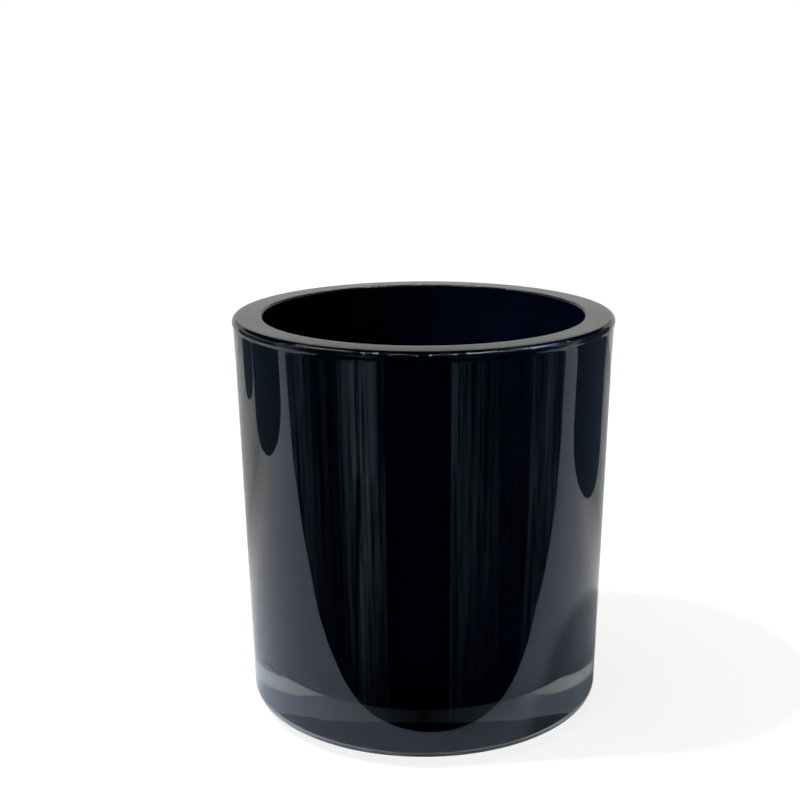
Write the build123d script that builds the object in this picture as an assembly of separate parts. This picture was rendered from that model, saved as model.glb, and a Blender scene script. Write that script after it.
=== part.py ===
from build123d import *
import math
import os

# Empty candle jar: a thick clear glass tumbler whose cavity is lacquered.
# Millimetres, +Z up, origin at the centre of the underside, on the table.

# Driving dimensions
LIP_DIAMETER = 90.0          # widest diameter, at the rolled lip
HEIGHT = 96.0                # table to the top of the lip
MOUTH_DIAMETER = 76.4        # bare glass across the mouth
DRAFT_DEGREES = 1.45         # the mould's draft, inside and outside
FLARE = 0.2                  # how far the top of the wall spreads beyond its draft
FLARE_LENGTH = 12.0          # top of the lip down to where the flare's bend is centred
FLARE_BEND_RADIUS = 800.0
LIP_STANDS_PROUD = 0.2       # the lip's bead beyond the top of the flared wall
LIP_BEAD_HEIGHT = 2.1        # top of the lip down to the start of the bead
LIP_SIDE_HEIGHT = 1.45       # top of the lip down to the corner at the bead's widest point
LIP_OUTER_RADIUS = 1.15      # rounding over the outside of the lip
LIP_UNDER_RADIUS = 1.15      # rounding from the bead's widest point to its underside
BEAD_BLEND_RADIUS = 2.0      # soft bend from the bead's underside into the wall
LIP_INNER_RADIUS = 0.35       # rounding into the mouth
MOUTH_LAND = 9.0             # straight stretch at the top of the cavity
LAND_BLEND_RADIUS = 100.0    # soft bend from the land into the draft
FLOOR_THICKNESS = 8.4        # glass floor of the cavity above the table
CAVITY_CORNER_RADIUS = 17.0  # bowl-like corner between floor and wall
FOOT_RISE_INSET = 6.5        # how far inside the wall the underside starts to rise
FOOT_RISE_HEIGHT = 2.7       # how high it has risen where it meets the line of the wall
FOOT_BEND_RADIUS = 12.0      # soft bend where the underside starts to rise
HEEL_RADIUS = 3.4            # rounding from that rise into the wall
FOOT_RING_INNER_RADIUS = 30.0
RECESS_RADIUS = 20.0         # flat middle of the underside, inside the foot ring
RECESS_DEPTH = 0.15
RECESS_BLEND_RADIUS = 60.0   # soft bends between the recess and the foot ring
LACQUER_THICKNESS = 0.2

# Sizes that follow from them
LIP_RADIUS = LIP_DIAMETER / 2
MOUTH_RADIUS = MOUTH_DIAMETER / 2
DRAFT = math.tan(math.radians(DRAFT_DEGREES))
LACQUER_TOP = HEIGHT - LIP_INNER_RADIUS
LAND_BOTTOM = HEIGHT - MOUTH_LAND


def wall_radius(z):
    """Outside radius of the wall's straight draft at height z, without the flare and the bead."""
    return LIP_RADIUS - LIP_STANDS_PROUD - FLARE - (HEIGHT - z) * DRAFT


def cavity_radius(z):
    """Inside radius of the glass at height z, below the mouth's straight land."""
    return MOUTH_RADIUS - (LAND_BOTTOM - z) * DRAFT


def underside_outline():
    """Corners of the underside from the recess to the foot ring, each with its rounding."""
    corners = [
        (RECESS_RADIUS, RECESS_DEPTH),
        (FOOT_RING_INNER_RADIUS, 0),
    ]
    return corners, [RECESS_BLEND_RADIUS, RECESS_BLEND_RADIUS]


def outside_outline():
    """Corners of the outside from the foot to the lip, each with its rounding."""
    flare_bottom = HEIGHT - FLARE_LENGTH
    bead_bottom = HEIGHT - LIP_BEAD_HEIGHT
    corners = [
        (wall_radius(0) - FOOT_RISE_INSET, 0),
        (wall_radius(FOOT_RISE_HEIGHT), FOOT_RISE_HEIGHT),
        (wall_radius(flare_bottom), flare_bottom),
        (wall_radius(bead_bottom) + FLARE, bead_bottom),
        (LIP_RADIUS, HEIGHT - LIP_SIDE_HEIGHT),
        (LIP_RADIUS, HEIGHT),
    ]
    radii = [
        FOOT_BEND_RADIUS,
        HEEL_RADIUS,
        FLARE_BEND_RADIUS,
        BEAD_BLEND_RADIUS,
        LIP_UNDER_RADIUS,
        LIP_OUTER_RADIUS,
    ]
    return corners, radii


def cavity_outline(inset):
    """Corners of the cavity from the mouth's land to its floor, drawn in by inset."""
    floor = FLOOR_THICKNESS + inset
    corners = [
        (MOUTH_RADIUS - inset, LAND_BOTTOM),
        (cavity_radius(floor) - inset, floor),
    ]
    radii = [LAND_BLEND_RADIUS, CAVITY_CORNER_RADIUS - inset]
    return corners, radii


def turned(edges):
    """Solid of revolution about +Z from a closed outline drawn in the XZ plane."""
    outline = Plane.XZ * make_face(edges)
    return revolve(outline, Axis.Z)


def glass_jar():
    """The glass: foot, wall, lip and cavity in one moulded piece."""
    underside, underside_radii = underside_outline()
    outside, outside_radii = outside_outline()
    cavity, cavity_radii = cavity_outline(0)
    recess_centre = (0, RECESS_DEPTH)
    mouth_edge = (MOUTH_RADIUS, HEIGHT)
    floor_centre = (0, FLOOR_THICKNESS)
    path = [recess_centre, *underside, *outside, mouth_edge, *cavity, floor_centre]
    radii = [*underside_radii, *outside_radii, LIP_INNER_RADIUS, *cavity_radii]
    skin = FilletPolyline(*path, radius=radii)
    return turned([*skin.edges(), Line(floor_centre, recess_centre)])


def lacquer_lining():
    """The sprayed lacquer: an even skin on the cavity's wall and floor."""
    outer, outer_radii = cavity_outline(0)
    inner, inner_radii = cavity_outline(LACQUER_THICKNESS)
    outer_top = (MOUTH_RADIUS, LACQUER_TOP)
    inner_top = (MOUTH_RADIUS - LACQUER_THICKNESS, LACQUER_TOP)
    outer_floor = (0, FLOOR_THICKNESS)
    inner_floor = (0, FLOOR_THICKNESS + LACQUER_THICKNESS)
    bonded_face = FilletPolyline(outer_top, *outer, outer_floor, radius=outer_radii)
    open_face = FilletPolyline(inner_top, *inner, inner_floor, radius=inner_radii)
    ends = [Line(outer_floor, inner_floor), Line(outer_top, inner_top)]
    return turned([*bonded_face.edges(), *open_face.edges(), *ends])


def main():
    os.makedirs("parts", exist_ok=True)
    nodes = {"glass_jar": glass_jar(), "lacquer_lining": lacquer_lining()}
    for name, solid in nodes.items():
        solid.label = name
        export_step(solid, f"parts/{name}.step")


main()
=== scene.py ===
import math
import random

import bpy
from mathutils import Matrix, Vector


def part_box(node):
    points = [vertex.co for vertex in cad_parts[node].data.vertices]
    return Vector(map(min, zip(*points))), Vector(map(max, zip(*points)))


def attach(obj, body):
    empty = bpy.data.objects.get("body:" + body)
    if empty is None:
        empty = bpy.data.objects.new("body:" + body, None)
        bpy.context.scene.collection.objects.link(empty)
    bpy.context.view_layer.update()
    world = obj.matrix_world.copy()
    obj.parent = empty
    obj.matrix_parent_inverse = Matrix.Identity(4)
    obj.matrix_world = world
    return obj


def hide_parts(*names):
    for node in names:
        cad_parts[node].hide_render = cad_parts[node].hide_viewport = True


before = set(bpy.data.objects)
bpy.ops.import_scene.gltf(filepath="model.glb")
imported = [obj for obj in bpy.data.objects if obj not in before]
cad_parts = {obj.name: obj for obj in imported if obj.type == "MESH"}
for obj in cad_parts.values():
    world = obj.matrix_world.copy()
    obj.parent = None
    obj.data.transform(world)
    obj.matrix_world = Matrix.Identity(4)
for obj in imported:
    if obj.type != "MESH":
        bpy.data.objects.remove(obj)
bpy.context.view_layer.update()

MM = 0.001

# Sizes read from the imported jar
JAR_LOW, JAR_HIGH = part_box("glass_jar")
LINING_LOW, LINING_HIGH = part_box("lacquer_lining")
LIP_RADIUS = JAR_HIGH.x
HEIGHT = JAR_HIGH.z
MOUTH_RADIUS = LINING_HIGH.x
LACQUER_TOP = LINING_HIGH.z
FLOOR_THICKNESS = LINING_LOW.z

# The jar's other sizes, the same as in part.py
DRAFT = math.tan(math.radians(1.45))
FLARE = 0.2 * MM
FLARE_BOTTOM = HEIGHT - 12 * MM
FLARE_BEND_RADIUS = 800 * MM
LIP_STANDS_PROUD = 0.2 * MM
BEAD_BOTTOM = HEIGHT - 2.1 * MM
LIP_SIDE = HEIGHT - 1.45 * MM
LIP_OUTER_RADIUS = 1.15 * MM
LIP_UNDER_RADIUS = 1.15 * MM
BEAD_BLEND_RADIUS = 2 * MM
LIP_INNER_RADIUS = HEIGHT - LACQUER_TOP
LAND_BOTTOM = HEIGHT - 9 * MM
LAND_BLEND_RADIUS = 100 * MM
CAVITY_CORNER_RADIUS = 17 * MM
FOOT_RISE_INSET = 6.5 * MM
FOOT_RISE_HEIGHT = 2.7 * MM
FOOT_BEND_RADIUS = 12 * MM
HEEL_RADIUS = 3.4 * MM
FOOT_RING_INNER_RADIUS = 30 * MM
RECESS_RADIUS = 20 * MM
RECESS_DEPTH = 0.15 * MM
RECESS_BLEND_RADIUS = 60 * MM
LACQUER_THICKNESS = 0.2 * MM
BOND_DEPTH = 0.02 * MM      # the lacquer bites this far into the glass, so no air shows between them

# Mesh fineness
SEGMENTS = 320
RUN_STEP = 1.5 * MM
ARC_STEP = math.radians(5)


# Outlines, as (radius, height) points

def rounded(corners, radii):
    """Points along straight runs between corners, with an arc at each inner corner."""
    points = [Vector(corners[0])]
    for before, corner, after, radius in zip(corners, corners[1:], corners[2:], radii):
        corner = Vector(corner)
        back = (Vector(before) - corner).normalized()
        ahead = (Vector(after) - corner).normalized()
        half_angle = back.angle(ahead) / 2
        reach = radius / math.tan(half_angle)
        centre = corner + (back + ahead).normalized() * radius / math.sin(half_angle)
        start = corner + back * reach - centre
        end = corner + ahead * reach - centre
        turn = start.angle_signed(end)
        steps = max(2, math.ceil(abs(turn) / ARC_STEP))
        run_to(points, centre + start)
        for i in range(1, steps + 1):
            points.append(centre + Matrix.Rotation(-turn * i / steps, 2) @ start)
    run_to(points, Vector(corners[-1]))
    return points


def run_to(points, end):
    """Adds evenly spaced points on a straight run to end."""
    start = points[-1]
    steps = max(1, math.ceil((end - start).length / RUN_STEP))
    for i in range(1, steps + 1):
        points.append(start.lerp(end, i / steps))


def wall_radius(z):
    return LIP_RADIUS - LIP_STANDS_PROUD - FLARE - (HEIGHT - z) * DRAFT


def cavity_points(inset, top):
    """The cavity's wall and floor from its edge at height top to the axis, drawn in by inset."""
    floor = FLOOR_THICKNESS + inset
    floor_edge = MOUTH_RADIUS - (LAND_BOTTOM - floor) * DRAFT - inset
    wall = MOUTH_RADIUS - inset
    corners = [(wall, top), (wall, LAND_BOTTOM), (floor_edge, floor), (0, floor)]
    return rounded(corners, [LAND_BLEND_RADIUS, CAVITY_CORNER_RADIUS - inset])


def outside_points():
    """From the axis under the jar out over the foot ring, up the wall and over the lip."""
    corners = [
        (0, RECESS_DEPTH),
        (RECESS_RADIUS, RECESS_DEPTH),
        (FOOT_RING_INNER_RADIUS, 0),
        (wall_radius(0) - FOOT_RISE_INSET, 0),
        (wall_radius(FOOT_RISE_HEIGHT), FOOT_RISE_HEIGHT),
        (wall_radius(FLARE_BOTTOM), FLARE_BOTTOM),
        (wall_radius(BEAD_BOTTOM) + FLARE, BEAD_BOTTOM),
        (LIP_RADIUS, LIP_SIDE),
        (LIP_RADIUS, HEIGHT),
        (MOUTH_RADIUS, HEIGHT),
        (MOUTH_RADIUS, LACQUER_TOP),
    ]
    radii = [
        RECESS_BLEND_RADIUS,
        RECESS_BLEND_RADIUS,
        FOOT_BEND_RADIUS,
        HEEL_RADIUS,
        FLARE_BEND_RADIUS,
        BEAD_BLEND_RADIUS,
        LIP_UNDER_RADIUS,
        LIP_OUTER_RADIUS,
        LIP_INNER_RADIUS,
    ]
    return rounded(corners, radii)


# Pieces

def turned_piece(name, outline, material_of=None, materials=()):
    """A closed mesh turned about +Z from an outline that starts and ends on the axis."""
    vertices = [(0, 0, outline[0].y), (0, 0, outline[-1].y)]
    rings = outline[1:-1]
    for point in rings:
        for i in range(SEGMENTS):
            angle = 2 * math.pi * i / SEGMENTS
            vertices.append((point.x * math.cos(angle), point.x * math.sin(angle), point.y))

    def at(ring, i):
        return 2 + ring * SEGMENTS + i % SEGMENTS

    faces = []
    slots = []
    last = len(rings) - 1
    for i in range(SEGMENTS):
        faces.append((0, at(0, i + 1), at(0, i)))
        slots.append(material_of(0) if material_of else 0)
    for ring in range(last):
        for i in range(SEGMENTS):
            faces.append((at(ring, i), at(ring, i + 1), at(ring + 1, i + 1), at(ring + 1, i)))
            slots.append(material_of(ring + 1) if material_of else 0)
    for i in range(SEGMENTS):
        faces.append((1, at(last, i), at(last, i + 1)))
        slots.append(material_of(last + 1) if material_of else 0)
    mesh = bpy.data.meshes.new(name)
    mesh.from_pydata(vertices, [], faces)
    for material in materials:
        mesh.materials.append(material)
    mesh.polygons.foreach_set("material_index", slots)
    mesh.shade_smooth()
    mesh.set_sharp_from_angle(angle=math.radians(40))
    mesh.update()
    piece = bpy.data.objects.new(name, mesh)
    bpy.context.scene.collection.objects.link(piece)
    return piece


# Materials

def ramp(nodes, stops):
    """A colour ramp with stops at (position, colour)."""
    node = nodes.new("ShaderNodeValToRGB")
    elements = node.color_ramp.elements
    elements.remove(elements[1])
    elements[0].position = stops[0][0]
    elements[0].color = (*stops[0][1], 1)
    for position, colour in stops[1:]:
        elements.new(position).color = (*colour, 1)
    return node


def noise(nodes, link, place, scale, detail=2.0, stretch=(1, 1, 1)):
    """Noise over the object, as an output between 0 and 1."""
    mapping = nodes.new("ShaderNodeMapping")
    mapping.inputs["Scale"].default_value = stretch
    texture = nodes.new("ShaderNodeTexNoise")
    texture.inputs["Scale"].default_value = scale
    texture.inputs["Detail"].default_value = detail
    link(place.outputs["Object"], mapping.inputs["Vector"])
    link(mapping.outputs["Vector"], texture.inputs["Vector"])
    return texture.outputs["Fac"]


def remapped(nodes, link, value, low, high, to_low, to_high):
    """A value taken from the range low to high into the range to_low to to_high."""
    node = nodes.new("ShaderNodeMapRange")
    node.inputs["From Min"].default_value = low
    node.inputs["From Max"].default_value = high
    node.inputs["To Min"].default_value = to_low
    node.inputs["To Max"].default_value = to_high
    link(value, node.inputs["Value"])
    return node.outputs["Result"]


def bumped(nodes, link, height, distance, below=None):
    """A bump normal from a height between 0 and 1 that stands for distance in metres."""
    node = nodes.new("ShaderNodeBump")
    node.inputs["Distance"].default_value = distance
    link(height, node.inputs["Height"])
    if below:
        link(below, node.inputs["Normal"])
    return node.outputs["Normal"]


def clear_glass():
    """Clear moulded glass: faint waves from the mould, handling smudges and fine scuffs."""
    material = bpy.data.materials.new("clear_glass")
    material.use_nodes = True
    nodes = material.node_tree.nodes
    link = material.node_tree.links.new
    shader = nodes["Principled BSDF"]
    shader.inputs["Base Color"].default_value = (0.985, 0.995, 0.99, 1)
    shader.inputs["IOR"].default_value = 1.52
    shader.inputs["Transmission Weight"].default_value = 1
    place = nodes.new("ShaderNodeTexCoord")
    smudges = noise(nodes, link, place, 38, 5)
    link(remapped(nodes, link, smudges, 0.52, 0.75, 0.0, 0.004), shader.inputs["Roughness"])
    waves = bumped(nodes, link, noise(nodes, link, place, 28, 1, (1, 1, 0.35)), 0.00008)
    ripples = bumped(nodes, link, noise(nodes, link, place, 75, 1, (1, 1, 0.6)), 0.000014, waves)
    parts = nodes.new("ShaderNodeSeparateXYZ")
    near_lip = nodes.new("ShaderNodeMath")
    near_lip.operation = "MULTIPLY"
    link(place.outputs["Object"], parts.inputs["Vector"])
    link(remapped(nodes, link, parts.outputs["Z"], BEAD_BOTTOM, LIP_SIDE, 0, 1), near_lip.inputs[0])
    link(noise(nodes, link, place, 420, 1), near_lip.inputs[1])
    link(bumped(nodes, link, near_lip.outputs["Value"], 0.000002, ripples), shader.inputs["Normal"])
    return material


def lacquer_nodes(name):
    """A lacquer material with the default shader, before its colour and relief are set, as (material, nodes,
    link, shader, coordinates).
    """
    material = bpy.data.materials.new(name)
    material.use_nodes = True
    nodes = material.node_tree.nodes
    link = material.node_tree.links.new
    shader = nodes["Principled BSDF"]
    place = nodes.new("ShaderNodeTexCoord")
    return material, nodes, link, shader, place


def open_lacquer():
    """The free face of the lacquer: satin gloss with a slight orange peel and denser, duller patches."""
    material, nodes, link, shader, place = lacquer_nodes("lacquer_open")
    cloud = noise(nodes, link, place, 45, 4)
    tone = ramp(nodes, [(0.3, (0.0004, 0.0014, 0.0052)), (0.7, (0.0007, 0.0021, 0.0080))])
    link(cloud, tone.inputs["Fac"])
    link(tone.outputs["Color"], shader.inputs["Base Color"])
    link(remapped(nodes, link, cloud, 0.3, 0.7, 0.1, 0.2), shader.inputs["Roughness"])
    link(bumped(nodes, link, noise(nodes, link, place, 420, 2), 0.00001), shader.inputs["Normal"])
    return material


def bonded_lacquer():
    """The lacquer as seen through the glass it wets: flat navy black with no reflection of its own, painted
    lighter than the open face as a stand-in for the light the glass keeps from it.
    """
    material, nodes, link, shader, place = lacquer_nodes("lacquer_bonded")
    cloud = noise(nodes, link, place, 30, 3)
    # Painted light: these tones are lighter than the open face's and stand in for light that doesn't reach
    # the lacquer through the glass.
    tone = ramp(nodes, [(0.3, (0.0002, 0.0038, 0.0150)), (0.7, (0.0004, 0.0050, 0.0200))])
    link(cloud, tone.inputs["Fac"])
    link(tone.outputs["Color"], shader.inputs["Base Color"])
    link(remapped(nodes, link, cloud, 0.3, 0.7, 0.45, 0.6), shader.inputs["Roughness"])
    link(bumped(nodes, link, noise(nodes, link, place, 300, 2), 0.000004), shader.inputs["Normal"])
    shader.inputs["Specular IOR Level"].default_value = 0
    return material


# The jar

def make_glass():
    outline = outside_points() + cavity_points(0, LACQUER_TOP)[1:]
    piece = turned_piece("glass_tumbler", outline, materials=[clear_glass()])
    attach(piece, "root")
    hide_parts("glass_jar")


def make_lining():
    bonded = cavity_points(-BOND_DEPTH, LACQUER_TOP)
    bonded.reverse()
    open_side = cavity_points(LACQUER_THICKNESS, LACQUER_TOP)
    outline = bonded + open_side
    bonded_faces = len(bonded) - 1

    def side(face_ring):
        return 0 if face_ring < bonded_faces else 1

    materials = [bonded_lacquer(), open_lacquer()]
    piece = turned_piece("lacquer_coat", outline, side, materials)
    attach(piece, "root")
    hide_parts("lacquer_lining")


# Stage, in metres and degrees. The camera sees a plain white floor and backdrop.
# The glass mirrors a table in a half-dark room, and the clear base shows only the glowing wall behind it.

TABLE_FRONT = -0.058        # the table's tones start here, close to its front edge
TABLE_BACK = 0.33
TABLE_HALF_WIDTH = 1.5
TABLE_LEVEL = -0.0003
ROOM_RADIUS = 1.0
WALL_FOOT_TOP = ROOM_RADIUS * math.tan(math.radians(19))
WALL_TOP = ROOM_RADIUS * math.tan(math.radians(25.3))
ROOM_TOP = 1.4
ROOM_BOTTOM = -1.2
FRONT_SPREAD = 100          # the front wall reaches this many degrees to each side
LAMP_COUNT = 30
LAMP_SPREAD = 112           # the lamps hang up to this many degrees to each side
LAMP_DISTANCE = 1.5
BLUE_FROM = 96              # lamps further round to the right are blue
FLOOR_HALF_WIDTH = 8
BACKDROP_RADIUS = 7


def surface_nodes(name):
    """A new material without its shader, as (material, nodes, link, surface socket)."""
    material = bpy.data.materials.new(name)
    material.use_nodes = True
    nodes = material.node_tree.nodes
    nodes.remove(nodes["Principled BSDF"])
    return material, nodes, material.node_tree.links.new, nodes["Material Output"].inputs["Surface"]


def glowing(name, colour, strength=1.0):
    material, nodes, link, surface = surface_nodes(name)
    glow = nodes.new("ShaderNodeEmission")
    glow.inputs["Color"].default_value = (*colour, 1)
    glow.inputs["Strength"].default_value = strength
    link(glow.outputs["Emission"], surface)
    return material


def table_white():
    """Painted light and shade: bluish white beside the jar, grey from a hand's width behind it, standing in
    for cool light near the jar that falls off towards the back.
    """
    material, nodes, link, surface = surface_nodes("table_white")
    shader = nodes.new("ShaderNodeBsdfDiffuse")
    place = nodes.new("ShaderNodeTexCoord")
    parts = nodes.new("ShaderNodeSeparateXYZ")
    depth = nodes.new("ShaderNodeMapRange")
    depth.inputs["From Min"].default_value = TABLE_FRONT
    depth.inputs["From Max"].default_value = TABLE_BACK
    near = (0.64, 0.73, 0.92)
    beside = (0.74, 0.81, 0.98)
    middle = (0.82, 0.83, 0.85)
    far = (0.33, 0.34, 0.34)
    # Painted light: the tones darken from bluish white to grey towards the back, as light falling off.
    shade = ramp(nodes, [(0.0, near), (0.14, beside), (0.3, middle), (0.42, far), (1.0, far)])
    link(place.outputs["Object"], parts.inputs["Vector"])
    link(parts.outputs["Y"], depth.inputs["Value"])
    link(depth.outputs["Result"], shade.inputs["Fac"])
    link(shade.outputs["Color"], shader.inputs["Color"])
    link(shader.outputs["BSDF"], surface)
    return material


def floor_white():
    """A white floor that shows shadows at a fraction of their strength, lit by its own glow as painted light,
    dimmer near the jar.
    """
    material, nodes, link, surface = surface_nodes("floor_white")
    glow = nodes.new("ShaderNodeEmission")
    place = nodes.new("ShaderNodeTexCoord")
    distance = nodes.new("ShaderNodeVectorMath")
    distance.operation = "LENGTH"
    link(place.outputs["Object"], distance.inputs[0])
    # Painted light: the glow is weaker near the jar and full from 1.6 m out.
    link(remapped(nodes, link, distance.outputs["Value"], 0.3, 1.6, 0.86, 1), glow.inputs["Strength"])
    shader = nodes.new("ShaderNodeBsdfDiffuse")
    shader.inputs["Color"].default_value = (0.16, 0.16, 0.16, 1)
    both = nodes.new("ShaderNodeAddShader")
    link(glow.outputs["Emission"], both.inputs[0])
    link(shader.outputs["BSDF"], both.inputs[1])
    link(both.outputs["Shader"], surface)
    return material


def staged(name, vertices, faces, material, seen_by):
    """A stage mesh, seen by the camera, mirrored in the glass, or seen through the glass.

    seen_by lists "camera", "mirror" or "through".
    """
    mesh = bpy.data.meshes.new(name)
    mesh.from_pydata(vertices, [], faces)
    mesh.materials.append(material)
    thing = bpy.data.objects.new(name, mesh)
    bpy.context.scene.collection.objects.link(thing)
    thing.visible_camera = "camera" in seen_by
    thing.visible_glossy = "mirror" in seen_by
    thing.visible_transmission = "through" in seen_by
    thing.visible_shadow = False
    thing.visible_diffuse = False


def floor_square():
    reach = FLOOR_HALF_WIDTH
    return [(-reach, -reach, 0), (reach, -reach, 0), (reach, reach, 0), (-reach, reach, 0)], [(0, 1, 2, 3)]


def around(radius, from_azimuth, to_azimuth, low_z, high_z, steps):
    """A standing curved strip around the jar. Azimuth 0 is in front of the jar, 90 to its right."""
    vertices = []
    for z in (low_z, high_z):
        for i in range(steps + 1):
            azimuth = math.radians(from_azimuth + (to_azimuth - from_azimuth) * i / steps)
            vertices.append((radius * math.sin(azimuth), -radius * math.cos(azimuth), z))
    row = steps + 1
    faces = [(i, i + 1, row + i + 1, row + i) for i in range(steps)]
    return vertices, faces


def neighbour(name, azimuth, distance, radius, height, material):
    """A dark jar standing beside this one, seen only in its reflections."""
    steps = 48
    middle_x = distance * math.sin(math.radians(azimuth))
    middle_y = -distance * math.cos(math.radians(azimuth))
    vertices = []
    for z in (TABLE_LEVEL, height):
        for i in range(steps):
            angle = 2 * math.pi * i / steps
            vertices.append((middle_x + radius * math.cos(angle), middle_y + radius * math.sin(angle), z))
    faces = [(i, (i + 1) % steps, steps + (i + 1) % steps, steps + i) for i in range(steps)]
    faces.append(tuple(range(steps, 2 * steps)))
    staged(name, vertices, faces, material, ["mirror"])


def around_nodes(nodes, link):
    """The azimuth around the jar in radians, 0 in front and positive to its right, and the height."""
    place = nodes.new("ShaderNodeTexCoord")
    parts = nodes.new("ShaderNodeSeparateXYZ")
    front = nodes.new("ShaderNodeMath")
    front.operation = "MULTIPLY"
    front.inputs[1].default_value = -1
    azimuth = nodes.new("ShaderNodeMath")
    azimuth.operation = "ARCTAN2"
    link(place.outputs["Object"], parts.inputs["Vector"])
    link(parts.outputs["Y"], front.inputs[0])
    link(parts.outputs["X"], azimuth.inputs[0])
    link(front.outputs["Value"], azimuth.inputs[1])
    return azimuth.outputs["Value"], parts.outputs["Z"]


def wall_light(name, colour, stops):
    """Light that changes with the angle from straight behind the jar and ends beside it.

    Stops are (degrees, strength).
    """
    material, nodes, link, surface = surface_nodes(name)
    azimuth = around_nodes(nodes, link)[0]
    size = nodes.new("ShaderNodeMath")
    size.operation = "ABSOLUTE"
    link(azimuth, size.inputs[0])
    from_behind = remapped(nodes, link, size.outputs["Value"], math.pi, 0, 0, 1)
    stops = stops + [(95, stops[-1][1]), (115, 0)]
    tones = []
    for degrees, strength in stops:
        tones.append((degrees / 180, [part * strength for part in colour]))
    shade = ramp(nodes, tones)
    light = nodes.new("ShaderNodeEmission")
    link(from_behind, shade.inputs["Fac"])
    link(shade.outputs["Color"], light.inputs["Color"])
    link(light.outputs["Emission"], surface)
    return material


def streaked_light():
    """The room in front: dark, with fine upright streaks of light where its zones are lit."""
    material, nodes, link, surface = surface_nodes("front_light")
    azimuth, height = around_nodes(nodes, link)
    across = remapped(nodes, link, azimuth, math.radians(-FRONT_SPREAD), math.radians(FRONT_SPREAD), 0, 1)
    zones = [
        (-100, 0.15), (-76, 0.15), (-68, 0.04), (-54, 0.02), (-46, 0.12), (-41, 0.26), (-34, 0.3), (-30, 0.2),
        (-27, 0.12), (-23.5, 0.14), (-23, 0.0), (15.2, 0.0), (15.8, 0.18), (24, 0.12), (29, 0.08), (41, 0.07),
        (48, 0.02), (62, 0.02), (70, 0.12), (100, 0.17),
    ]
    stops = []
    for degrees, level in zones:
        stops.append(((degrees / FRONT_SPREAD + 1) / 2, (0.72 * level, level, 1.15 * level)))
    shade = ramp(nodes, stops)
    stretched = nodes.new("ShaderNodeCombineXYZ")
    fine = nodes.new("ShaderNodeTexNoise")
    fine.inputs["Scale"].default_value = 58
    fine.inputs["Detail"].default_value = 4
    fine.inputs["Roughness"].default_value = 0.75
    fine.inputs["Distortion"].default_value = 0.3
    fading = nodes.new("ShaderNodeMath")
    fading.operation = "MULTIPLY"
    light = nodes.new("ShaderNodeEmission")
    link(across, shade.inputs["Fac"])
    link(across, stretched.inputs["X"])
    link(remapped(nodes, link, height, ROOM_BOTTOM, 0, 0, 0.09), stretched.inputs["Y"])
    link(stretched.outputs["Vector"], fine.inputs["Vector"])
    link(remapped(nodes, link, fine.outputs["Fac"], 0.42, 0.66, 0.1, 2.6), fading.inputs[0])
    link(remapped(nodes, link, height, -0.5, -0.28, 0.15, 1), fading.inputs[1])
    link(fading.outputs["Value"], light.inputs["Strength"])
    link(shade.outputs["Color"], light.inputs["Color"])
    link(light.outputs["Emission"], surface)
    return material


def pale_wall():
    """The wall that the lip mirrors, with its tone changing a little with the height."""
    material, nodes, link, surface = surface_nodes("wall_pale")
    place = nodes.new("ShaderNodeTexCoord")
    parts = nodes.new("ShaderNodeSeparateXYZ")
    light = nodes.new("ShaderNodeEmission")
    light.inputs["Color"].default_value = (1.0, 1.02, 0.97, 1)
    link(place.outputs["Object"], parts.inputs["Vector"])
    height = remapped(nodes, link, parts.outputs["Z"], 0.24, 0.34, 0, 1)
    levels = [(0, 0.66), (0.3, 0.62), (0.45, 0.56), (0.6, 0.62), (0.85, 0.42)]
    tone = ramp(nodes, [(position, (level, level, level)) for position, level in levels])
    link(height, tone.inputs["Fac"])
    link(tone.outputs["Color"], light.inputs["Strength"])
    link(light.outputs["Emission"], surface)
    return material


def make_room():
    """The pale wall that is mirrored, the glow that shows through the base, and the streaky dark front."""
    behind = around(ROOM_RADIUS, 78, 282, ROOM_BOTTOM, WALL_TOP, steps=96)
    staged("wall_mirrored", *behind, pale_wall(), ["mirror"])
    foot = [(0, 0.06), (18, 0.12), (34, 0.3), (60, 0.4), (80, 0.6)]
    middle = [(0, 0.002), (14, 0.02), (28, 0.1), (36, 0.14), (60, 0.25), (80, 0.42)]
    high = [(0, 0.002), (14, 0.012), (30, 0.04), (60, 0.06)]
    lights = [
        ("wall_foot", 0, WALL_FOOT_TOP, (0.92, 1, 1.02), foot),
        ("wall_middle", WALL_FOOT_TOP, WALL_TOP, (0.95, 1, 1), middle),
        ("wall_high", WALL_TOP, ROOM_TOP, (0.8, 1, 1.25), high),
    ]
    for name, low_z, high_z, colour, stops in lights:
        light = wall_light(f"{name}_light", colour, stops)
        staged(name, *around(ROOM_RADIUS, 0, 360, low_z, high_z, steps=160), light, ["through"])
    front = around(ROOM_RADIUS * 0.99, -FRONT_SPREAD, FRONT_SPREAD, ROOM_BOTTOM, 0.05, steps=96)
    staged("room_front", *front, streaked_light(), ["mirror"])


def make_lamps():
    """Narrow hanging lamps in front, which the rounded lip catches as points of light."""
    white = [glowing(f"lamp_white_{strength}", (1, 1, 0.97), strength) for strength in (10, 30, 65)]
    blue = glowing("lamp_blue", (0.2, 0.45, 1), 50)
    chance = random.Random(5)
    for i in range(LAMP_COUNT):
        azimuth = -LAMP_SPREAD + 2 * LAMP_SPREAD * i / (LAMP_COUNT - 1) + chance.uniform(-2, 2)
        width = chance.uniform(0.25, 0.65)
        low = LAMP_DISTANCE * math.tan(math.radians(chance.uniform(25, 50)))
        high = low + chance.uniform(0.8, 2.5)
        material = blue if azimuth > BLUE_FROM else chance.choice(white)
        strip = around(LAMP_DISTANCE, azimuth - width, azimuth + width, low, high, steps=1)
        staged(f"lamp_{i:02d}", *strip, material, ["mirror"])


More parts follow.
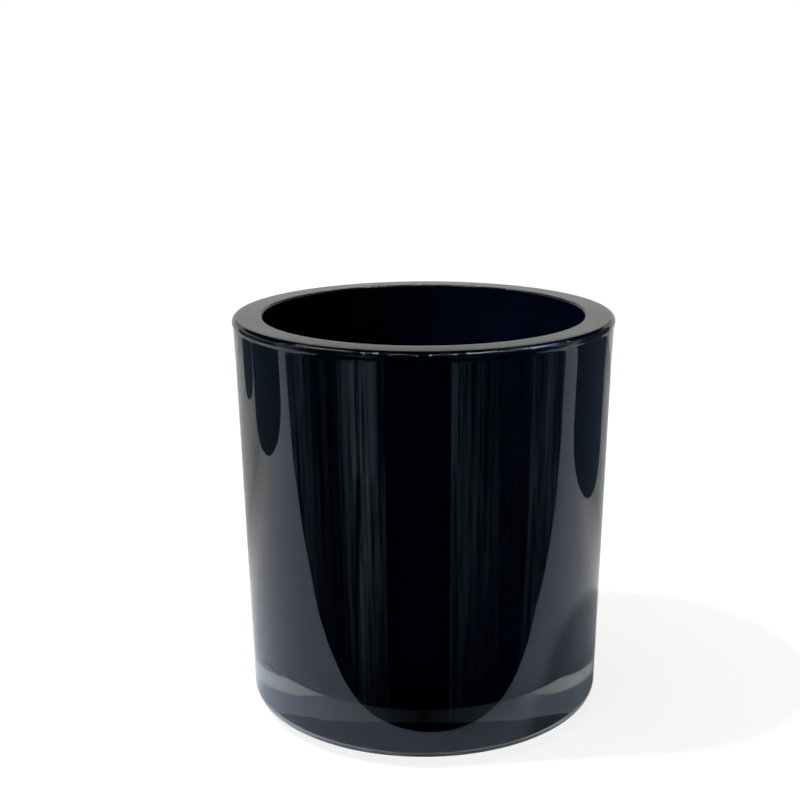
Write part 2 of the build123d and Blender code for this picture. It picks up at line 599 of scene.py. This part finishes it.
def table_top():
    """The table's outline, with its slightly bowed front edge, as (vertices, faces)."""
    front = [
        (-TABLE_HALF_WIDTH, 0.02), (-0.34, -0.036), (-0.3, -0.039), (-0.24, -0.044), (-0.19, -0.051),
        (-0.13, -0.059), (-0.06, -0.062), (0.015, -0.0575), (0.062, -0.056), (0.1, -0.054), (0.137, -0.046),
        (0.19, -0.034), (0.28, -0.022), (0.33, -0.018), (TABLE_HALF_WIDTH, 0.1),
    ]
    vertices = [(x, y, TABLE_LEVEL) for x, y in front]
    vertices.append((TABLE_HALF_WIDTH, TABLE_BACK, TABLE_LEVEL))
    vertices.append((-TABLE_HALF_WIDTH, TABLE_BACK, TABLE_LEVEL))
    return vertices, [tuple(range(len(vertices)))]


def make_stage():
    staged("table", *table_top(), table_white(), ["mirror"])
    make_room()
    make_lamps()
    dark = glowing("dark_jar", (0.055, 0.08, 0.11))
    neighbour("left_near_jar", -103, 0.312, 0.074, 0.13, dark)
    neighbour("left_far_jar", -125.5, 0.352, 0.042, 0.14, dark)
    neighbour("right_jar", 114.5, 0.27, 0.085, 0.16, dark)
    staged("floor_for_camera", *floor_square(), floor_white(), ["camera"])
    backdrop = around(BACKDROP_RADIUS, 0, 360, -1, 9, steps=64)
    staged("backdrop_for_camera", *backdrop, glowing("studio_white", (1, 1, 1)), ["camera"])


def softbox(name, place, size_x, size_y, power):
    """An area light aimed at the jar's foot. The glass doesn't mirror the light itself."""
    light = bpy.data.lights.new(name, "AREA")
    light.shape = "RECTANGLE"
    light.size = size_x
    light.size_y = size_y
    light.energy = power
    holder = bpy.data.objects.new(name, light)
    holder.location = place
    holder.rotation_euler = (-Vector(place)).to_track_quat("-Z", "Y").to_euler()
    holder.visible_glossy = False
    holder.visible_transmission = False
    bpy.context.scene.collection.objects.link(holder)


def make_lights():
    softbox("ceiling", (-0.35, -0.1, 1.2), 1.4, 0.9, 13.8)
    softbox("key_from_left", (-0.5, -0.13, 1.02), 0.04, 0.04, 14.5)
    world = bpy.data.worlds.new("room")
    bpy.context.scene.world = world
    world.use_nodes = True
    world.node_tree.nodes["Background"].inputs["Color"].default_value = (0.006, 0.008, 0.012, 1)


# Camera: low over the table, in front of the jar
CAMERA_DISTANCE = 0.3257
CAMERA_HEIGHT = 0.1572
CAMERA_PITCH_DOWN = math.radians(14.25)
CAMERA_ROLL = math.radians(0.16)
CAMERA_LENS = 63.0
CAMERA_SHIFT_X = -0.0297


def make_camera():
    camera = bpy.data.cameras.new("camera")
    camera.sensor_width = 36
    camera.lens = CAMERA_LENS
    camera.shift_x = CAMERA_SHIFT_X
    camera.clip_start = 0.01
    camera.clip_end = 50
    holder = bpy.data.objects.new("camera", camera)
    turn = Matrix.Rotation(math.pi / 2 - CAMERA_PITCH_DOWN, 4, "X") @ Matrix.Rotation(-CAMERA_ROLL, 4, "Z")
    holder.matrix_world = Matrix.Translation((0, -CAMERA_DISTANCE, CAMERA_HEIGHT)) @ turn
    bpy.context.scene.collection.objects.link(holder)
    bpy.context.scene.camera = holder


make_camera()
make_glass()
make_lining()
make_stage()
make_lights()
bpy.context.scene.view_settings.view_transform = "Standard"
